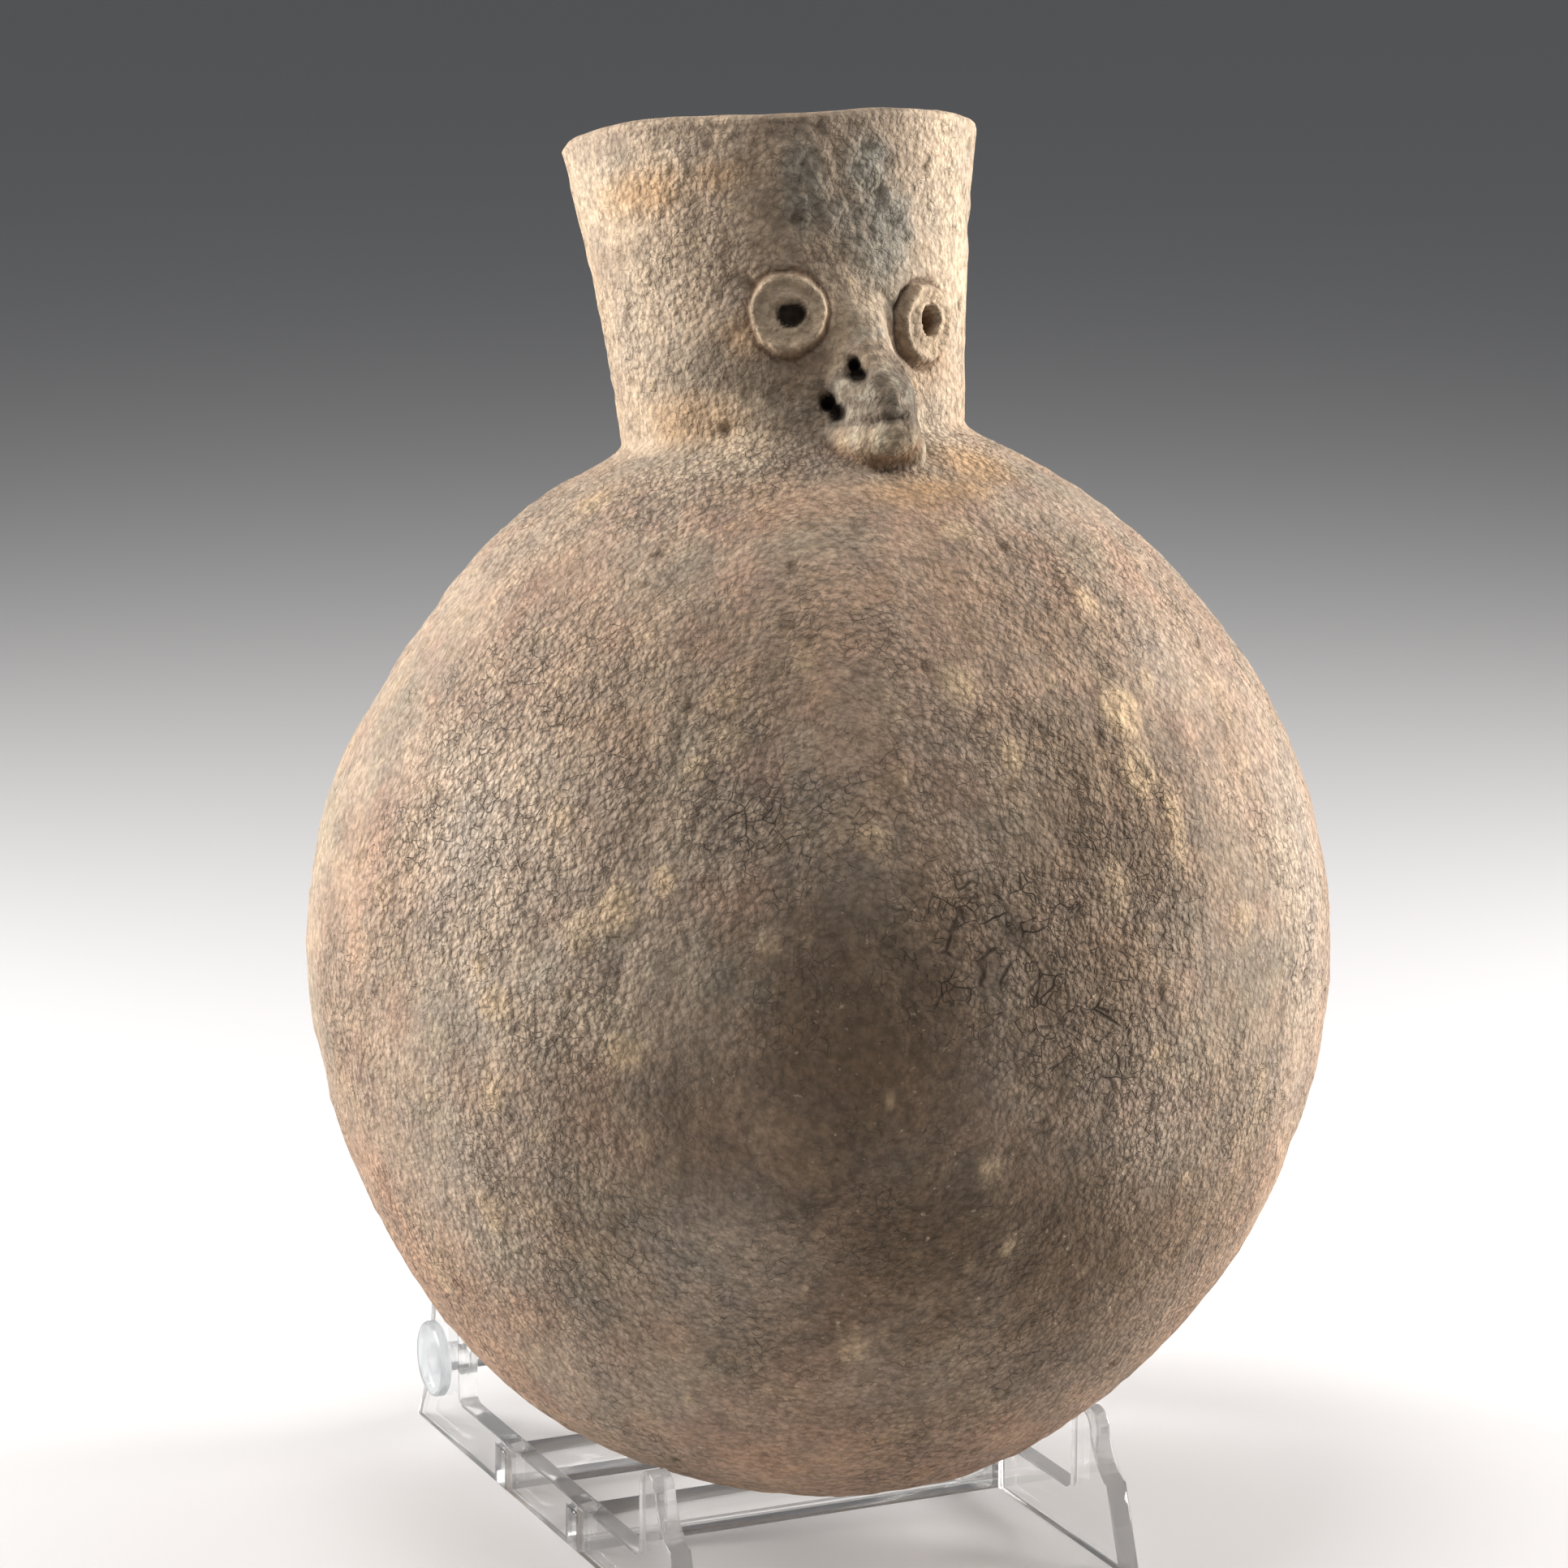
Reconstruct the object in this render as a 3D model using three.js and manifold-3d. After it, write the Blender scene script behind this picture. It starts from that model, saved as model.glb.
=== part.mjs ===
// Face-neck jar on a clear cradle.
// A round-bottomed earthenware jar whose flared neck carries a modelled animal face: two applied
// button eyes with pierced pupils above a short muzzle. It leans back a little in an acrylic cradle
// of two side plates, two crossbars and a capped rod. Millimetres, +Z up, the face looks along -Y.

import * as THREE from 'three';
import { mergeVertices } from 'three/addons/utils/BufferGeometryUtils.js';
import Module from 'manifold-3d';

// Body of the jar, measured along its own axis from its widest level
const bodyRadius = 99.5;
const domeHeight = 103.5;
const domeFullness = 1.91;
const bowlDepth = 109;
const bowlFullness = 1.94;
const bodyWall = 5.5;
const bowlSway = 2.2;

// Neck, measured up from the level where it rises out of the dome
const neckRadius = 33.2;
const neckHeight = 59.4;
const rimRadius = 40.4;
const neckFlare = 1.4;
const neckWall = 5;
const rootFillet = 5;

// Lean of the whole jar, and the further bend of its neck
const bodyLean = 7;
const neckBend = 4.5;
const bendLength = 16;

// Applied eyes: the one on the viewer's left is round, the other a little lower and narrower
const leftEyeAngle = -22.5;
const rightEyeAngle = 25;
const eyeHeight = 15.2;
const leftEyeWidth = 15;
const rightEyeWidth = 13.5;
const leftEyeLevel = 22;
const rightEyeLevel = 18.8;
const eyeProud = 2.2;
const eyeEdgeRound = 1.1;
const eyeDish = 0.7;
const pupilWidth = 5;
const pupilHeight = 4.4;

// Muzzle: a bridge down from between the eyes, an upper lip, and a lower jaw under the mouth line.
// Reaches are measured out from the neck's wall, levels up from its root.
const bridgeTopLevel = 27;
const bridgeFootLevel = 2;
const bridgeReach = 6.5;
const bridgeWidth = 11;
const bridgeHeight = 8;
const lipLevel = 3.8;
const lipReach = 14.2;
const lipWidth = 18.5;
const lipHeight = 14;
const lipDroop = 4.5;
const jawLevel = -2.2;
const jawReach = 15.2;
const jawWidth = 20;
const jawHeight = 8;
const mouthLevel = 0.8;
const mouthWidth = 15;
const mouthHeight = 1.6;
const mouthDepth = 7;
const cornerLevel = 3.3;
const cornerSpacing = 16;
const cornerWidth = 3.6;
const nostrilLevel = 10.6;
const nostrilSpacing = 8.4;
const nostrilWidth = 3.4;

// Cradle: two side plates, each a rail with a horn in front and an upright behind. Places along
// a plate are measured back from under the jar's centre, heights up from the table.
const plateThickness = 4.3;
const plateSpacing = 88;
const hornInner = -24;
const hornFootLength = 21.5;
const hornTopRadius = 4.3;
const hornLedge = 1;
const hornLedgeHeight = 16.5;
const hornLedgeInset = 6;
const railLength = 98;
const railOverBar = 2.5;
const uprightFootLength = 26;
const uprightTopRadius = 5;
const uprightKneeHeight = 13;
const uprightKneeInset = 7.5;

// Crossbars in notches under the rails, and the rod that ties the uprights
const barThickness = 5;
const barHeight = 8;
const frontBarInset = 34.8;
const barSpacing = 39.2;
const rodRadius = 3;
const rodHeight = 17;
const rodInset = 11;
const capRadius = 8;
const capThickness = 2.3;
const capChamfer = 0.5;

// Clearances
const fitClearance = 0.3;
const restClearance = 0.35;
const bowlOverBar = 4.5;

// Fineness of the curved surfaces
const jarSides = 48;
const outerRings = { bowl: 10, dome: 7, root: 6, neck: 5 };
const innerRings = { bowl: 6, dome: 4, root: 4, neck: 3 };
const lipRings = 4;
const eyeSides = 26;
const holeSides = 14;
const lumpSides = 20;
const lumpRings = 12;
const roundSteps = 20;

const wasm = await Module();
wasm.setup();

const radians = THREE.MathUtils.degToRad;
const quarterTurn = Math.PI / 2;

// Closed solids from geometries and back

function toSolid(geometry) {
  const bare = geometry.clone();
  bare.deleteAttribute('normal');
  bare.deleteAttribute('uv');
  const merged = mergeVertices(bare, 1e-4);
  const corners = merged.index.array;
  const kept = [];
  for (let i = 0; i < corners.length; i += 3) {
    const [a, b, c] = corners.slice(i, i + 3);
    if (a !== b && b !== c && c !== a) kept.push(a, b, c);
  }
  return new wasm.Manifold(new wasm.Mesh({
    numProp: 3,
    vertProperties: new Float32Array(merged.attributes.position.array),
    triVerts: new Uint32Array(kept),
  }));
}

function toGeometry(solid) {
  const mesh = solid.getMesh();
  const geometry = new THREE.BufferGeometry();
  geometry.setAttribute('position', new THREE.BufferAttribute(mesh.vertProperties, 3));
  geometry.setIndex(new THREE.BufferAttribute(mesh.triVerts, 1));
  return geometry;
}

// A turned solid about +Z from points of (radius, height), listed up its outside
function turned(points, sides) {
  const geometry = new THREE.LatheGeometry(points, sides);
  geometry.rotateX(quarterTurn);
  return geometry;
}

// Profile of the jar. Its inner face is the same curve drawn in by the wall.

function superellipse(share, fullness) {
  return Math.pow(Math.max(0, 1 - Math.pow(Math.abs(share), fullness)), 1 / fullness);
}

function bodyRadiusAt(level, wall) {
  const depth = level > 0 ? domeHeight : bowlDepth;
  const fullness = level > 0 ? domeFullness : bowlFullness;
  return (bodyRadius - wall) * superellipse(level / (depth - wall), fullness);
}

const rootLevel = domeHeight * superellipse(neckRadius / bodyRadius, domeFullness);
const rimLevel = rootLevel + neckHeight;

function neckRadiusAt(level) {
  const share = Math.max(0, (level - rootLevel) / neckHeight);
  return neckRadius + (rimRadius - neckRadius) * Math.pow(share, neckFlare);
}

// Body and neck meet in a hollow curve
function blendedRadius(body, neck) {
  const overlap = Math.max(0, rootFillet - Math.abs(body - neck));
  return Math.max(body, neck) + overlap * overlap / (4 * rootFillet);
}

const blendStart = rootLevel - 2 * rootFillet;
const blendEnd = rootLevel + 2 * rootFillet;

function outerRadiusAt(level) {
  if (level < blendStart) return bodyRadiusAt(level, 0);
  return blendedRadius(bodyRadiusAt(level, 0), neckRadiusAt(level));
}

function innerRadiusAt(level) {
  if (level < blendStart) return bodyRadiusAt(level, bodyWall);
  return blendedRadius(bodyRadiusAt(level, bodyWall), neckRadiusAt(level) - neckWall);
}

// Levels up the wall, evenly spread round the curves of bowl and dome, closer at the neck's root
function wallLevels(wall, topLevel, rings) {
  const levels = [];
  for (let i = 1; i <= rings.bowl; i++) {
    const turn = quarterTurn * (1 - i / rings.bowl);
    levels.push(-(bowlDepth - wall) * Math.pow(Math.sin(turn), 2 / bowlFullness));
  }
  const domeEnd = Math.asin(Math.pow(blendStart / domeHeight, domeFullness / 2));
  for (let i = 1; i <= rings.dome; i++) {
    levels.push(domeHeight * Math.pow(Math.sin(domeEnd * i / rings.dome), 2 / domeFullness));
  }
  for (let i = 1; i <= rings.root; i++) {
    levels.push(blendStart + (blendEnd - blendStart) * i / rings.root);
  }
  for (let i = 1; i <= rings.neck; i++) {
    levels.push(blendEnd + (topLevel - blendEnd) * i / rings.neck);
  }
  return levels;
}

// The jar's wall as one turned solid with a rounded lip, open at the top
function makeVessel() {
  const lipRadius = neckWall / 2;
  const lipLevelOnWall = rimLevel - lipRadius;
  const lipCentre = neckRadiusAt(lipLevelOnWall) - lipRadius;
  const points = [new THREE.Vector2(0, -bowlDepth)];
  for (const level of wallLevels(0, lipLevelOnWall, outerRings)) {
    points.push(new THREE.Vector2(outerRadiusAt(level), level));
  }
  for (let i = 1; i < lipRings; i++) {
    const turn = Math.PI * i / lipRings;
    points.push(new THREE.Vector2(
      lipCentre + lipRadius * Math.cos(turn),
      lipLevelOnWall + lipRadius * Math.sin(turn),
    ));
  }
  for (const level of wallLevels(bodyWall, lipLevelOnWall, innerRings).reverse()) {
    points.push(new THREE.Vector2(innerRadiusAt(level), level));
  }
  points.push(new THREE.Vector2(0, bodyWall - bowlDepth));
  return toSolid(turned(points, jarSides));
}

// Places on the neck: an angle from the front, a level above the root, a distance from the axis.
// Things placed there have their own +Z pointing straight out of the wall.
function placeOnNeck(geometry, angle, level, distance) {
  geometry.rotateX(quarterTurn);
  geometry.translate(0, -distance, 0);
  geometry.rotateZ(radians(angle));
  geometry.translate(0, 0, rootLevel + level);
  return geometry;
}

const eyes = [
  { angle: leftEyeAngle, level: leftEyeLevel, width: leftEyeWidth },
  { angle: rightEyeAngle, level: rightEyeLevel, width: rightEyeWidth },
];

const eyeSeat = neckWall / 2;

// A button of clay with a rounded edge and a dished face, seated halfway into the wall
function makeEye(eye) {
  const radius = eyeHeight / 2;
  const seat = neckRadiusAt(rootLevel + eye.level) - eyeSeat;
  const top = eyeSeat + eyeProud;
  const edge = radius - eyeEdgeRound;
  const points = [
    new THREE.Vector2(0, 0),
    new THREE.Vector2(radius, 0),
    new THREE.Vector2(radius, top - eyeEdgeRound),
    new THREE.Vector2(edge + eyeEdgeRound * Math.SQRT1_2, top - eyeEdgeRound * (1 - Math.SQRT1_2)),
    new THREE.Vector2(edge, top),
    new THREE.Vector2(edge - 2 * eyeEdgeRound, top - eyeDish),
    new THREE.Vector2(0, top - eyeDish),
  ];
  const button = turned(points, eyeSides);
  button.scale(eye.width / eyeHeight, 1, 1);
  return toSolid(placeOnNeck(button, eye.angle, eye.level, seat));
}

// A round or oval hole along the neck's radius, from a start distance outwards
function makeHole(angle, level, start, end, width, height) {
  const hole = new THREE.CylinderGeometry(width / 2, width / 2, end - start, holeSides);
  hole.rotateX(quarterTurn);
  hole.scale(1, height / width, 1);
  return toSolid(placeOnNeck(hole, angle, level, (start + end) / 2));
}

function makePupil(eye) {
  const outer = neckRadiusAt(rootLevel + eye.level);
  return makeHole(eye.angle, eye.level, outer - 2 * neckWall, outer + 2 * eyeProud, pupilWidth, pupilHeight);
}

// An egg-shaped lump on the centre line; its long axis runs between two points of (distance, level)
function makeLump(back, front, width, height) {
  const lump = new THREE.SphereGeometry(1, lumpSides, lumpRings);
  lump.scale(width / 2, back.distanceTo(front) / 2, height / 2);
  lump.rotateX(Math.atan2(back.y - front.y, front.x - back.x));
  const middle = back.clone().add(front).multiplyScalar(1 / 2);
  lump.translate(0, -middle.x, rootLevel + middle.y);
  return toSolid(lump);
}

// The middle of the wall round the neck, which cuts the back off what is pressed onto it
function makeCore() {
  const top = rimLevel - neckWall;
  const bottom = rootLevel + jawLevel - jawHeight;
  const points = [new THREE.Vector2(0, bottom)];
  for (const level of [bottom, ...wallLevels(bodyWall, top, outerRings)]) {
    if (level >= bottom) points.push(new THREE.Vector2(innerRadiusAt(level) + neckWall / 2, level));
  }
  points.push(new THREE.Vector2(0, top));
  return toSolid(turned(points, jarSides));
}

// Bridge, lip and jaw, pressed onto the neck just above its root
function makeMuzzle() {
  const bridgeBack = neckRadiusAt(rootLevel + bridgeTopLevel) - neckWall / 2;
  const bridge = makeLump(
    new THREE.Vector2(bridgeBack, bridgeTopLevel),
    new THREE.Vector2(neckRadius + bridgeReach, bridgeFootLevel),
    bridgeWidth,
    bridgeHeight,
  );
  const lip = makeLump(
    new THREE.Vector2(neckRadius - lipReach, lipLevel + lipDroop),
    new THREE.Vector2(neckRadius + lipReach, lipLevel),
    lipWidth,
    lipHeight,
  );
  const jaw = makeLump(
    new THREE.Vector2(neckRadius - jawReach, jawLevel),
    new THREE.Vector2(neckRadius + jawReach, jawLevel),
    jawWidth,
    jawHeight,
  );
  return bridge.add(lip).add(jaw).subtract(makeCore());
}

// The mouth is a shallow slit between lip and jaw
function makeMouth() {
  const front = neckRadius + jawReach;
  return makeLump(
    new THREE.Vector2(front - mouthDepth, mouthLevel),
    new THREE.Vector2(front + mouthDepth, mouthLevel),
    mouthWidth,
    mouthHeight,
  );
}

// Nostrils and mouth corners are pricked in as far as the middle of the wall
function makePricks() {
  const start = neckRadius - neckWall / 2;
  const end = neckRadius + jawReach;
  const middle = neckRadius + jawReach / 2;
  const rows = [
    { level: nostrilLevel, spacing: nostrilSpacing, width: nostrilWidth },
    { level: cornerLevel, spacing: cornerSpacing, width: cornerWidth },
  ];
  const pricks = [];
  for (const { level, spacing, width } of rows) {
    const angle = THREE.MathUtils.radToDeg(Math.asin(spacing / 2 / middle));
    pricks.push(makeHole(-angle, level, start, end, width, width));
    pricks.push(makeHole(angle, level, start, end, width, width));
  }
  return pricks;
}

// The lower bowl sits a little to one side of the axis, as hand-built jars do
function swayAt(level) {
  const share = THREE.MathUtils.clamp(-level / bowlDepth, 0, 1);
  return -bowlSway * Math.sin(Math.PI * share ** 3) ** 2;
}

// Bends the neck back along an arc centred on its root
function bendNeck(point) {
  const bend = radians(neckBend);
  const start = rootLevel - bendLength / 2;
  const share = THREE.MathUtils.clamp((point.z - start) / bendLength, 0, 1);
  if (share === 0) return point;
  const turn = bend * share;
  const arcRadius = bendLength / bend;
  const beyond = Math.max(0, point.z - start - bendLength);
  const axisY = arcRadius * (1 - Math.cos(turn)) + beyond * Math.sin(turn);
  const axisZ = start + arcRadius * Math.sin(turn) + beyond * Math.cos(turn);
  return point.set(point.x, axisY + point.y * Math.cos(turn), axisZ - point.y * Math.sin(turn));
}

const bodyCentreHeight = barHeight + bowlOverBar + bowlDepth;
const leanAxis = new THREE.Vector3(1, 0, 0);

function makeJar() {
  let solid = makeVessel().add(makeMuzzle());
  for (const eye of eyes) {
    solid = solid.add(makeEye(eye)).subtract(makePupil(eye));
  }
  solid = solid.subtract(makeMouth());
  for (const prick of makePricks()) solid = solid.subtract(prick);
  const geometry = toGeometry(solid);
  const positions = geometry.attributes.position;
  const point = new THREE.Vector3();
  for (let i = 0; i < positions.count; i++) {
    point.fromBufferAttribute(positions, i);
    point.x += swayAt(point.z);
    bendNeck(point);
    point.applyAxisAngle(leanAxis, -radians(bodyLean));
    positions.setXYZ(i, point.x, point.y, point.z + bodyCentreHeight);
  }
  return geometry;
}

// How high above the table the jar's underside is over a point of the cradle
function undersideAt(x, y) {
  const point = new THREE.Vector3();
  const insideJar = (height) => {
    point.set(x, y, height - bodyCentreHeight);
    point.applyAxisAngle(leanAxis, radians(bodyLean));
    const distance = Math.hypot(point.x - swayAt(point.z), point.y);
    return point.z > 0 || distance < bodyRadiusAt(point.z, 0);
  };
  let low = 0;
  let high = bodyCentreHeight;
  while (high - low > 1e-3) {
    const middle = (low + high) / 2;
    if (insideJar(middle)) high = middle;
    else low = middle;
  }
  return low;
}

// The height at which a plate's rounded top, centred at a place along the plate, meets the jar
function restingCentre(place, topRadius) {
  const innerFace = plateSpacing / 2;
  let lowest = Infinity;
  for (let i = 0; i <= roundSteps; i++) {
    const turn = Math.PI * i / roundSteps;
    const y = place + topRadius * Math.cos(turn);
    const rise = topRadius * Math.sin(turn);
    for (const x of [-innerFace, innerFace]) {
      lowest = Math.min(lowest, undersideAt(x, y) - restClearance - rise);
    }
  }
  return lowest;
}

const plateFront = hornInner - hornFootLength;
const hornPlace = hornInner - hornTopRadius;
const frontBarPlace = hornInner + frontBarInset;
const rearBarPlace = frontBarPlace + barSpacing;
const uprightFront = hornInner + railLength;
const uprightPlace = uprightFront + uprightTopRadius;
const plateBack = uprightFront + uprightFootLength;
const rodPlace = uprightFront + rodInset;
const railHeight = barHeight + railOverBar;

function sideOutline() {
  const hornCentre = restingCentre(hornPlace, hornTopRadius);
  const uprightCentre = restingCentre(uprightPlace, uprightTopRadius);
  const ledge = plateFront + hornLedgeInset;
  const shape = new THREE.Shape();
  shape.moveTo(plateFront, 0);
  shape.lineTo(ledge, hornLedgeHeight);
  shape.lineTo(ledge + hornLedge, hornLedgeHeight);
  shape.quadraticCurveTo(
    hornPlace - hornTopRadius - hornLedge, hornCentre - hornTopRadius,
    hornPlace - hornTopRadius, hornCentre,
  );
  shape.absarc(hornPlace, hornCentre, hornTopRadius, Math.PI, 0, true);
  shape.lineTo(hornInner, railHeight);
  shape.lineTo(uprightFront, railHeight);
  shape.absarc(uprightPlace, uprightCentre, uprightTopRadius, Math.PI, 0, true);
  shape.lineTo(plateBack - uprightKneeInset, uprightKneeHeight);
  shape.lineTo(plateBack, 0);
  const notch = barThickness / 2 + fitClearance;
  for (const bar of [rearBarPlace, frontBarPlace]) {
    shape.lineTo(bar + notch, 0);
    shape.lineTo(bar + notch, barHeight + fitClearance);
    shape.lineTo(bar - notch, barHeight + fitClearance);
    shape.lineTo(bar - notch, 0);
  }
  const rodHole = new THREE.Path();
  rodHole.absarc(rodPlace, rodHeight, rodRadius + fitClearance, 0, 2 * Math.PI, false);
  shape.holes.push(rodHole);
  return shape;
}

// Materials

const claySurface = { color: 0xa9836a, roughness: 0.95, metalness: 0 };
const acrylicSurface = { color: 0xf1f3f1, roughness: 0.08, metalness: 0 };

function addPiece(parent, name, geometry, surface) {
  const mesh = new THREE.Mesh(geometry, new THREE.MeshStandardMaterial(surface));
  mesh.name = name;
  parent.add(mesh);
  return mesh;
}

// Cradle, centred across the jar

const cradle = new THREE.Group();
const outerFace = plateSpacing / 2 + plateThickness;
const turnOutline = new THREE.Matrix4().makeBasis(
  new THREE.Vector3(0, 1, 0),
  new THREE.Vector3(0, 0, 1),
  new THREE.Vector3(1, 0, 0),
);

const outline = sideOutline();
for (const [name, start] of [['stand_side_left', -outerFace], ['stand_side_right', plateSpacing / 2]]) {
  const plate = new THREE.ExtrudeGeometry(outline, {
    depth: plateThickness,
    bevelEnabled: false,
    curveSegments: roundSteps / 2,
  });
  plate.applyMatrix4(turnOutline);
  addPiece(cradle, name, plate, acrylicSurface).position.x = start;
}

for (const [name, place] of [['stand_bar_front', frontBarPlace], ['stand_bar_rear', rearBarPlace]]) {
  const bar = new THREE.BoxGeometry(2 * outerFace, barThickness, barHeight);
  addPiece(cradle, name, bar, acrylicSurface).position.set(0, place, barHeight / 2);
}

const rod = new THREE.CylinderGeometry(rodRadius, rodRadius, 2 * outerFace, roundSteps);
rod.rotateZ(quarterTurn);
addPiece(cradle, 'stand_rod', rod, acrylicSurface).position.set(0, rodPlace, rodHeight);

for (const [name, side] of [['stand_cap_left', -1], ['stand_cap_right', 1]]) {
  const cap = turned([
    new THREE.Vector2(0, 0),
    new THREE.Vector2(capRadius, 0),
    new THREE.Vector2(capRadius, capThickness - capChamfer),
    new THREE.Vector2(capRadius - capChamfer, capThickness),
    new THREE.Vector2(0, capThickness),
  ], roundSteps);
  cap.rotateY(side * quarterTurn);
  const capPlace = side * (outerFace + fitClearance);
  addPiece(cradle, name, cap, acrylicSurface).position.set(capPlace, rodPlace, rodHeight);
}

// The whole part, with its origin on the table under the middle of its box

const group = new THREE.Group();
group.add(cradle);
addPiece(group, 'jar', makeJar(), claySurface);
const box = new THREE.Box3().setFromObject(group, true);
const centre = box.getCenter(new THREE.Vector3());
group.position.set(-centre.x, -centre.y, -box.min.z);

export default group;
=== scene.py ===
import math
from types import SimpleNamespace

import bmesh
import bpy
import numpy as np
from mathutils import Matrix, Vector


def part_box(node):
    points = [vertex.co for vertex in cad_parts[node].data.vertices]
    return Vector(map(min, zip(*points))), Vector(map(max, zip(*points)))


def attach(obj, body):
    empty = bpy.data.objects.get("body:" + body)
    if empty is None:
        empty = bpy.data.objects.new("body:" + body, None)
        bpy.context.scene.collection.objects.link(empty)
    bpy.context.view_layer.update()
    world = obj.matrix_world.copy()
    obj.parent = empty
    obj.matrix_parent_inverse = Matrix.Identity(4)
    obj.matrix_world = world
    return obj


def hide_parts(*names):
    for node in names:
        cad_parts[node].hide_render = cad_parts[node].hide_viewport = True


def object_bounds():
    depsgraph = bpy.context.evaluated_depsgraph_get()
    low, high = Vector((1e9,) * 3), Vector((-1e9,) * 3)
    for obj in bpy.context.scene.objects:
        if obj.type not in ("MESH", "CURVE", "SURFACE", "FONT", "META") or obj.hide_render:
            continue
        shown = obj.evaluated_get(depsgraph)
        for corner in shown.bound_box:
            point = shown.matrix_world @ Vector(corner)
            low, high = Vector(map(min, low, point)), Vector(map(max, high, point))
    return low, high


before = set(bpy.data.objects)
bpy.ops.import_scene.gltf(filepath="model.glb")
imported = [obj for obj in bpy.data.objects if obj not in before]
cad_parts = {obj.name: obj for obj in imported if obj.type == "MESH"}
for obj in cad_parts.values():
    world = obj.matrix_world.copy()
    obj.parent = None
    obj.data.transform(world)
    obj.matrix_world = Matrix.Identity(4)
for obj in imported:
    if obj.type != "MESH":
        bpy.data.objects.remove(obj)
start_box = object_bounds()
MM = 0.001

# Shape of the jar in millimetres. Levels count from the widest height of the body, azimuths from
# the middle of the face towards the viewer's right.
BODY_RADIUS = 99.5
DOME_HEIGHT, DOME_FULLNESS = 103.5, 1.91
BOWL_DEPTH, BOWL_FULLNESS = 109.0, 1.94
BODY_WALL, NECK_WALL = 5.5, 5.0
NECK_RADIUS, RIM_RADIUS, NECK_HEIGHT, NECK_FLARE = 33.2, 40.4, 59.4, 1.4
ROOT_FILLET = 5.0
BOWL_SWAY = 2.2
BODY_LEAN, NECK_BEND, BEND_LENGTH = math.radians(7), math.radians(4.5), 16.0
CENTRE_HEIGHT = 121.5
CENTRE_Y = -0.266


def superellipse(share, fullness):
    return np.maximum(0, 1 - np.abs(share) ** fullness) ** (1 / fullness)


ROOT = DOME_HEIGHT * float(superellipse(NECK_RADIUS / BODY_RADIUS, DOME_FULLNESS))
RIM = ROOT + NECK_HEIGHT
LIP = NECK_WALL / 2


def body_radius(level, wall):
    dome = superellipse(np.clip(level / (DOME_HEIGHT - wall), 0, 1), DOME_FULLNESS)
    bowl = superellipse(np.clip(level / (BOWL_DEPTH - wall), -1, 0), BOWL_FULLNESS)
    return (BODY_RADIUS - wall) * np.where(level > 0, dome, bowl)


def neck_radius(level):
    share = np.maximum(0, (level - ROOT) / NECK_HEIGHT)
    return NECK_RADIUS + (RIM_RADIUS - NECK_RADIUS) * share ** NECK_FLARE


def jar_radius(level, wall, neck_wall):
    body = body_radius(level, wall)
    neck = np.where(level > ROOT - 14, neck_radius(level) - neck_wall, 0)
    overlap = np.maximum(0, ROOT_FILLET - np.abs(body - neck))
    return np.maximum(body, neck) + overlap ** 2 / (4 * ROOT_FILLET)


def stand_up(points):
    """Sway of the bowl, bend of the neck, lean of the body and height over the table."""
    x, y, z = points.T
    share = np.clip(-z / BOWL_DEPTH, 0, 1)
    x = x - BOWL_SWAY * np.sin(np.pi * share ** 3) ** 2
    start = ROOT - BEND_LENGTH / 2
    share = np.clip((z - start) / BEND_LENGTH, 0, 1)
    turn = NECK_BEND * share
    arc = BEND_LENGTH / NECK_BEND
    beyond = np.maximum(0, z - start - BEND_LENGTH)
    axis_y = arc * (1 - np.cos(turn)) + beyond * np.sin(turn)
    axis_z = start + arc * np.sin(turn) + beyond * np.cos(turn)
    bent_y = np.where(share > 0, axis_y + y * np.cos(turn), y)
    bent_z = np.where(share > 0, axis_z - y * np.sin(turn), z)
    cos, sin = math.cos(BODY_LEAN), math.sin(BODY_LEAN)
    return np.stack([
        x,
        bent_y * cos + bent_z * sin + CENTRE_Y,
        bent_z * cos - bent_y * sin + CENTRE_HEIGHT,
    ], axis=1)


# Seeded noise in space, for relief and colour
def lattice(cells, seed):
    value = cells[..., 0] * 374761393 + cells[..., 1] * 668265263 + cells[..., 2] * 2147483647
    value = (value + seed * 144665) & 0xFFFFFFFF
    value = ((value ^ (value >> 13)) * 1274126177) & 0xFFFFFFFF
    value = ((value ^ (value >> 16)) * 2246822519) & 0xFFFFFFFF
    return ((value ^ (value >> 15)) & 0xFFFFFF) / 0xFFFFFF


def soft_noise(points, size, seed):
    """Smooth noise from -1 to 1 with lumps of the given size."""
    scaled = points / size + seed * 17.31
    cell = np.floor(scaled).astype(np.int64)
    part = scaled - cell
    part = part * part * part * (part * (part * 6 - 15) + 10)
    total = np.zeros(len(points))
    for corner in range(8):
        step = np.array([corner & 1, corner >> 1 & 1, corner >> 2 & 1])
        weight = np.where(step, part, 1 - part).prod(axis=1)
        total += weight * lattice(cell + step, seed)
    return total * 2 - 1


def layered_noise(points, size, seed, layers=3):
    total, weight, scale = np.zeros(len(points)), 1.0, 0.0
    for layer in range(layers):
        total += weight * soft_noise(points, size / 2 ** layer, seed + layer)
        scale += weight
        weight *= 0.55
    return total / scale


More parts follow.
